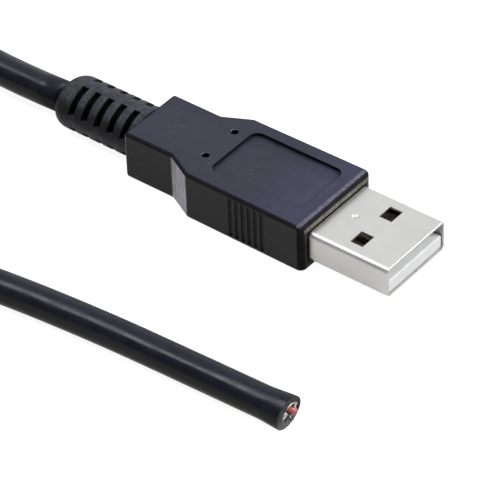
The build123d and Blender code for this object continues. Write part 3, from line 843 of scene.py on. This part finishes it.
    # Painted shade: the walls and floors of the boot's slots are painted nearly black.
    slot_sides = f.ramp(f.math("ABSOLUTE", facing["X"]), 0.5, 0.7)
    slot_sides = f.both(slot_sides, f.inside(f.x, SLOTS_END_X, BODY_REAR_X - 0.2))
    slots = f.math("MAXIMUM", slot_sides, f.inside(from_axis, 0, SLOT_FLOOR_RADIUS, 0.2))
    matt = f.blend(slots, matt, (0.003, 0.003, 0.003))
    colour = f.blend(boot, colour, matt)
    dust = f.group(specks, Vector=f.place, Per_Millimetre=0.6, Size=0.05, Share=0.2)
    colour = f.blend(dust.outputs["Mask"], colour, (0.16, 0.16, 0.18))
    f.put(f.shader["Base Color"], colour)

    gloss = f.ramp(mottle, 0, 1, 0.4, 0.52)
    gloss = f.math("SUBTRACT", gloss, f.math("MULTIPLY", taper, 0.2))
    gloss = f.math("ADD", gloss, f.math("MULTIPLY", boot, 0.1))
    dull = f.math("MAXIMUM", f.math("MAXIMUM", pins, junction_shade), f.math("MAXIMUM", rounds, wall))
    gloss = f.math("ADD", gloss, f.math("MULTIPLY", dull, 0.4), clamp=True)
    f.put(f.shader["Roughness"], gloss)
    f.raise_by(surface.outputs["Relief"], 0.009)
    f.raise_by(f.both(skin.outputs["Mask"], boot), 0.03)
    parting = f.both(f.inside(f.z, MIDDLE_Z - 0.03, MIDDLE_Z + 0.03, 0.04), upright, body)
    f.raise_by(parting, 0.02)
    return f.done()


def jacket_finish():
    """Glossy black jacket, faintly wavy along it, with painted shade underneath and a rough, paler cut
    face.
    """
    f = Finish("cable_jacket", (0.009, 0.01, 0.013), 0.28)
    f.shader["Specular IOR Level"].default_value = 0.22
    drawn = f.scaled(f.along(), (0.55, 0.06, 0))
    wave = f.noise(drawn, 1.0, 2.0, 0.4)
    surface = f.group(grain, Vector=f.place, Grain_Scale=5.0, Mottle_Scale=0.5)
    mottle = surface.outputs["Mottle"]
    colour = f.blend(mottle, (0.008, 0.0085, 0.017), (0.012, 0.0125, 0.024))
    facing = f.facing()
    # Painted shade: the jacket's underside is painted darker.
    underside = f.math("SUBTRACT", 1, f.ramp(facing["Z"], 0.05, 0.65))
    colour = f.blend(underside, colour, (0.0035, 0.0033, 0.0022))
    centre_x, centre_y, centre_z = CUT_POINTS[-1]
    face_x = f.math("MULTIPLY", f.math("SUBTRACT", f.y, centre_y), SLANT * SLANTED[0])
    leant = f.math("MULTIPLY", f.math("SUBTRACT", f.z, centre_z), SLANT * SLANTED[1])
    face_x = f.math("ADD", face_x, leant)
    past = f.math("SUBTRACT", f.x, face_x)
    cut = f.inside(past, centre_x + CUT_REACH - 0.09, centre_x + 2, 0.04)
    torn = f.noise(f.place, 5.0, 3.0, 0.7)
    lower = f.math("SUBTRACT", 1, f.inside(f.z, 2.2, 5, 1.6))
    torn_light = f.blend(lower, (0.062, 0.07, 0.068), (0.28, 0.28, 0.28))
    colour = f.blend(cut, colour, f.blend(torn, (0.024, 0.026, 0.026), torn_light))
    dust = f.group(specks, Vector=f.place, Per_Millimetre=0.5, Size=0.03, Share=0.3)
    colour = f.blend(dust.outputs["Mask"], colour, (0.16, 0.16, 0.17))
    f.put(f.shader["Base Color"], colour)
    handled = f.math("SUBTRACT", 1, f.inside(f.x, 20, 60, 70))
    handled = f.both(handled, f.inside(f.y, -80, -20, 8))
    gloss = f.math("ADD", f.ramp(mottle, 0, 1, 0.24, 0.32), f.math("MULTIPLY", handled, 0.06))
    gloss = f.math("ADD", gloss, f.math("MULTIPLY", cut, 0.35))
    f.put(f.shader["Roughness"], gloss)
    f.raise_by(wave, 0.12)
    f.raise_by(surface.outputs["Relief"], 0.004)
    f.raise_by(f.both(torn, cut), 0.12)
    return f.done()


def shell_finish():
    """Bright plated sheet with faint rolling lines and a few scratches, and painted shade: dull and
    brownish inside, less so near the mouth, and dark at the junction with the moulding.
    """
    f = Finish("plated_shell", (0.68, 0.675, 0.66), 0.28, 1.0)
    surface = f.group(grain, Vector=f.place, Grain_Scale=10.0, Mottle_Scale=0.35)
    mottle = surface.outputs["Mottle"]
    colour = f.blend(mottle, (0.665, 0.66, 0.645), (0.695, 0.69, 0.675))
    scratch = f.group(streaks, Vector=f.scaled(f.place, (0.5, 6, 6)), Scale=1.3, Low=0.62, High=0.7)
    colour = f.blend(f.math("MULTIPLY", scratch.outputs["Mask"], 0.3), colour, (0.55, 0.54, 0.52))
    # Painted shade: the inside of the shell, but for the bottom lip at the mouth, is painted a dull
    # brown, tinted as a painted reflection of the brass contacts, and lighter near the mouth.
    hollow = f.both(f.inside(f.y, *HOLLOW_Y, 0.03), f.inside(f.z, *HOLLOW_Z, 0.03))
    hollow = f.both(hollow, f.inside(f.x, -10, MOUTH_X - 0.12, 0.06))
    lip = f.both(f.inside(f.z, 1, 1.75, 0.1), f.inside(f.x, MOUTH_X - 0.6, MOUTH_X + 1, 0.2))
    hollow = f.math("SUBTRACT", hollow, lip, clamp=True)
    near_mouth = f.inside(f.x, MOUTH_X - 1.5, MOUTH_X + 1, 2.5)
    brown = f.blend(mottle, (0.11, 0.088, 0.06), (0.2, 0.165, 0.12))
    brown = f.blend(near_mouth, brown, (0.6, 0.57, 0.53))
    colour = f.blend(hollow, colour, brown)
    # Painted shade: the sheet is painted dark where it meets the moulding.
    junction_shade = f.inside(f.x, FRONT_X - 3, FRONT_X + 0.1, 0.12)
    colour = f.blend(junction_shade, colour, (0.05, 0.048, 0.04))
    f.put(f.shader["Base Color"], colour)
    facing = f.facing()
    bend = f.inside(facing["Z"], 0.1, 0.96, 0.04)
    gloss = f.math("ADD", f.ramp(mottle, 0, 1, 0.29, 0.33), f.math("MULTIPLY", bend, 0.14))
    gloss = f.math("ADD", gloss, f.math("MULTIPLY", hollow, 0.2))
    f.put(f.shader["Roughness"], gloss)
    rolled = f.noise(f.scaled(f.place, (0.4, 14, 14)), 1.0, 2.0, 0.5)
    f.raise_by(rolled, 0.0015)
    return f.done()


def tongue_finish(name, dark, light, gloss, metallic):
    """White moulding or bare metal in the shell, lit at the mouth, with painted shade behind the latch
    windows, in streaks.
    """
    f = Finish(name, light, gloss[1], metallic)
    f.shader["Specular IOR Level"].default_value = 0.25
    surface = f.group(grain, Vector=f.place, Grain_Scale=9.0)
    mottle = surface.outputs["Mottle"]
    # Painted shade: deep in the shell, behind the latch windows, the colour is painted at half
    # brightness, in streaks.
    deep = f.inside(f.x, -10, MOUTH_X - 2.4, 0.8)
    lines = f.group(streaks, Vector=f.scaled(f.place, (0.6, 3, 3)), Scale=1.4)
    dim = tuple(0.5 * c for c in dark)
    dimmed = f.blend(lines.outputs["Mask"], dim, light)
    f.put(f.shader["Base Color"], f.blend(deep, f.blend(mottle, dark, light), dimmed))
    f.put(f.shader["Roughness"], f.ramp(mottle, 0, 1, *gloss))
    f.raise_by(surface.outputs["Relief"], 0.002)
    return f.done()


black_overmould = overmould_finish()
cable_jacket = jacket_finish()
plated_shell = shell_finish()
white_insulator = tongue_finish(
    "white_insulator", (0.82, 0.83, 0.85), (0.87, 0.875, 0.89), (0.48, 0.6), 0.0
)
inner_moulding = plain_finish("inner_mould", (0.72, 0.72, 0.66), (0.8, 0.8, 0.75), (0.4, 0.52)).done()
tinned_sheet = plain_finish(
    "tinned_sheet", (0.55, 0.55, 0.54), (0.66, 0.66, 0.65), (0.28, 0.44), 1.0
).done()
gilded_contact = tongue_finish(
    "gilded_contact", (0.6, 0.4, 0.16), (0.78, 0.56, 0.26), (0.28, 0.4), 1.0
)
solder = plain_finish("solder", (0.5, 0.5, 0.51), (0.68, 0.68, 0.69), (0.28, 0.5), 1.0, 4.0, 0.02).done()
tinned_wire = plain_finish("tinned_wire", (0.6, 0.6, 0.59), (0.78, 0.78, 0.77), (0.25, 0.4), 1.0).done()
bright_foil = plain_finish(
    "foil", (0.72, 0.72, 0.74), (0.86, 0.86, 0.88), (0.15, 0.32), 1.0, 3.0, 0.02
).done()
bare_copper = plain_finish("copper", (0.62, 0.3, 0.18), (0.8, 0.45, 0.3), (0.25, 0.42), 1.0).done()


def insulation(name, colour):
    dark = tuple(0.82 * c for c in colour)
    return plain_finish(name, dark, colour, (0.18, 0.3), height=0.003).done()


red_insulation = insulation("red_insulation", (0.58, 0.15, 0.14))
white_insulation = insulation("white_insulation", (0.78, 0.78, 0.76))
green_insulation = insulation("green_insulation", (0.015, 0.11, 0.06))
black_insulation = insulation("black_insulation", (0.015, 0.015, 0.017))


def strap_finish():
    """Black woven tape: threads that cross along and across it."""
    f = plain_finish("strap", (0.016, 0.016, 0.018), (0.04, 0.04, 0.044), (0.7, 0.85), 0, 5, 0.04)
    threads = f.scaled(f.along(), (9.0, 6.5, 0))
    across, lengthwise, _ = f.node("ShaderNodeSeparateXYZ", Vector=threads).outputs
    weave = f.both(f.math("SINE", across), f.math("SINE", lengthwise))
    raised = f.ramp(weave, -0.7, 0.7)
    f.put(f.shader["Base Color"], f.blend(raised, (0.009, 0.009, 0.01), (0.05, 0.05, 0.054)))
    f.raise_by(raised, 0.08)
    return f.done()


strap_cloth = strap_finish()

WIRE_COLOURS = {
    "red": red_insulation,
    "white": white_insulation,
    "green": green_insulation,
    "black": black_insulation,
}


def node_finish(name):
    """The material of a CAD node, by its name."""
    plain = {
        "overmould": black_overmould,
        "plug_shell": plated_shell,
        "insulator": white_insulator,
        "inner_mould": inner_moulding,
        "jacket_in_plug": cable_jacket,
        "coil_strap": strap_cloth,
    }
    if name in plain:
        return plain[name]
    for ending, material in (
        ("_contact", gilded_contact),
        ("_solder_joint", solder),
        ("_core", bare_copper),
    ):
        if name.endswith(ending):
            return material
    for part, material in (
        ("rear_cover", tinned_sheet),
        ("braid", tinned_wire),
        ("drain", tinned_wire),
        ("foil", bright_foil),
    ):
        if part in name:
            return material
    colour = name.replace("cut_end_", "").split("_")[0]
    return WIRE_COLOURS.get(colour, cable_jacket)


for name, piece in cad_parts.items():
    piece.data.materials.clear()
    piece.data.materials.append(node_finish(name))

cable.data.materials.append(cable_jacket)
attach(cable, "root")
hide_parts("cable_to_coil", "cable_coil", "cable_to_cut_end")


def own_piece(name, data, material, slot, *nodes):
    """A piece of the scene that stands for CAD nodes, or adds to them where none are named."""
    piece = data if isinstance(data, bpy.types.Object) else add_object(name, data)
    if not piece.data.materials:
        piece.data.materials.append(material)
    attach(piece, "root")
    if nodes:
        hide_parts(*nodes)
    return piece


BRAID_RADIUS, BRAID_THICKNESS, BRAID_WIRES = 1.32, 0.13, 44
FOIL_RADIUS, FOIL_THICKNESS = 1.16, 0.05
DRAIN_PLACE, DRAIN_STRANDS = (0.77, -0.75), 7
FINE_WIRE_RADIUS = 0.055 * MM

for colour, (place, move, reach) in CUT_WIRES.items():
    line = wire_line(place, move, reach)
    insulated = f"cut_end_{colour}_wire"
    mesh = wire_mesh(f"cut_{colour}_wire", line, WIRE_RADIUS, CORE_RADIUS)
    slot = f"{colour}_insulation"
    own_piece(f"cut_{colour}_wire", mesh, WIRE_COLOURS[colour], slot, insulated)
    tip = line[-1]
    ahead = cut_place(*(tip + (tip - line[-2]))) - cut_place(*tip)
    tips = [cut_place(*(tip + Vector((CORE_REACH, 0, 0))))]
    for strand in range(6):
        turn = math.radians(60 * strand + 20)
        spread = 2 * STRAND_RADIUS * Vector((0, math.cos(turn), math.sin(turn)))
        reach = CORE_REACH + 0.05 * uneven(strand)
        tips.append(cut_place(*(tip + spread + Vector((reach, 0, 0)))))
    strands = wire_ends(
        f"cut_{colour}_strands", tips, STRAND_RADIUS * MM, 1.1 * MM, ahead.normalized(), bare_copper
    )
    own_piece(strands.name, strands, bare_copper, "copper", f"cut_end_{colour}_core")

braid = shield_mesh("cut_braid", BRAID_RADIUS, BRAID_THICKNESS, braid_edge, 0.02)
own_piece("cut_braid", braid, tinned_wire, "braid", "cut_end_braid")
tips = []
for number in range(BRAID_WIRES):
    turn = 2 * math.pi * number / BRAID_WIRES
    along = braid_edge(turn, number) + 0.1 + 0.1 * uneven(number * 5)
    size = 1.25 + 0.04 * uneven(number)
    tips.append(cut_place(along, size * math.cos(turn) + SHIELD_SHIFT, size * math.sin(turn)))
wires = wire_ends("cut_braid_wires", tips, FINE_WIRE_RADIUS, 1.0 * MM, CUT_HEADING, tinned_wire)
own_piece(wires.name, wires, tinned_wire, "braid")
foil = shield_mesh("cut_foil", FOIL_RADIUS, FOIL_THICKNESS, foil_edge, 0.05)
own_piece("cut_foil", foil, bright_foil, "foil", "cut_end_foil")
tips = []
for strand in range(DRAIN_STRANDS):
    turn = math.radians(60 * strand)
    away = 0.11 if strand else 0
    spot = (DRAIN_PLACE[0] + away * math.cos(turn), DRAIN_PLACE[1] + away * math.sin(turn))
    tips.append(cut_place(0.02 + 0.06 * uneven(strand + 40), *spot))
drain = wire_ends("cut_drain_wire", tips, FINE_WIRE_RADIUS, 7.5 * MM, CUT_HEADING, tinned_wire)
own_piece(drain.name, drain, tinned_wire, "tinned_wire", "cut_end_drain_wire")

# Strap round the coil: one length of woven tape whose end lies over its start
STRAP_ANGLE, STRAP_WIDTH, STRAP_TAPE = 200.0, 8.8, 0.24
STRAP_RADIUS, STRAP_MIDDLE_Z = 23.0, 6.97
STRAP_HALF = (4.37, 6.47)
STRAP_CORNER = 2.12


def strap_outline(distance, lift):
    """Point of the tape's line at a distance along it, and the way that it faces there."""
    half_r, half_z = STRAP_HALF
    flat_r, flat_z = half_r - STRAP_CORNER, half_z - STRAP_CORNER
    arc = math.pi / 2 * STRAP_CORNER
    parts = ((2 * flat_z, arc), (2 * flat_r, arc), (2 * flat_z, arc), (2 * flat_r, arc))
    corners = ((flat_r, flat_z), (-flat_r, flat_z), (-flat_r, -flat_z), (flat_r, -flat_z))
    starts = ((flat_r, -flat_z), (flat_r, flat_z), (-flat_r, flat_z), (-flat_r, -flat_z))
    distance %= sum(straight + bend for straight, bend in parts)
    for number, (straight, bend) in enumerate(parts):
        facing = number * math.pi / 2
        if distance <= straight:
            x, z = starts[number]
            along = facing + math.pi / 2
            x, z = x + distance * math.cos(along), z + distance * math.sin(along)
            break
        distance -= straight
        if distance <= bend:
            x, z = corners[number]
            facing += distance / STRAP_CORNER
            break
        distance -= bend
    reach = STRAP_CORNER + lift
    return (x + reach * math.cos(facing), z + reach * math.sin(facing))


def strap_mesh():
    half_r, half_z = STRAP_HALF
    whole = 4 * (half_r + half_z - 2 * STRAP_CORNER) + 2 * math.pi * STRAP_CORNER
    overlap, step = 7.0, 0.5
    count = round((whole + overlap) / step)
    rows, lengthwise = [], []
    for number in range(count + 1):
        distance = (whole + overlap) * number / count
        over = smooth_step((distance - whole + 1.2) / 1.2)
        low = 0.01 + (STRAP_TAPE + 0.01) * over
        tip = min(1.0, (whole + overlap - distance) / 1.2 + 0.55)
        row = []
        for side, lift in ((1, low), (-1, low + STRAP_TAPE)):
            for stop in range(13):
                share = side * (1 - stop / 6)
                edge = 1 if abs(share) < 0.95 else 0.5
                at = lift + (edge - 1) * STRAP_TAPE / 2 * (1 if lift > low else -1)
                r, z = strap_outline(distance, at)
                angle = math.radians(STRAP_ANGLE) + share * tip * STRAP_WIDTH / 2 / STRAP_RADIUS
                spot = (STRAP_RADIUS + r) * Vector((math.cos(angle), math.sin(angle), 0))
                row.append((Vector((*COIL_CENTRE, STRAP_MIDDLE_Z + z)) + spot) * MM)
        rows.append(row)
        lengthwise.append(distance * MM)
    return rows_mesh("strap", rows, lengthwise, 2 * STRAP_WIDTH * MM)


strap = own_piece("strap", strap_mesh(), strap_cloth, "strap", "coil_strap")
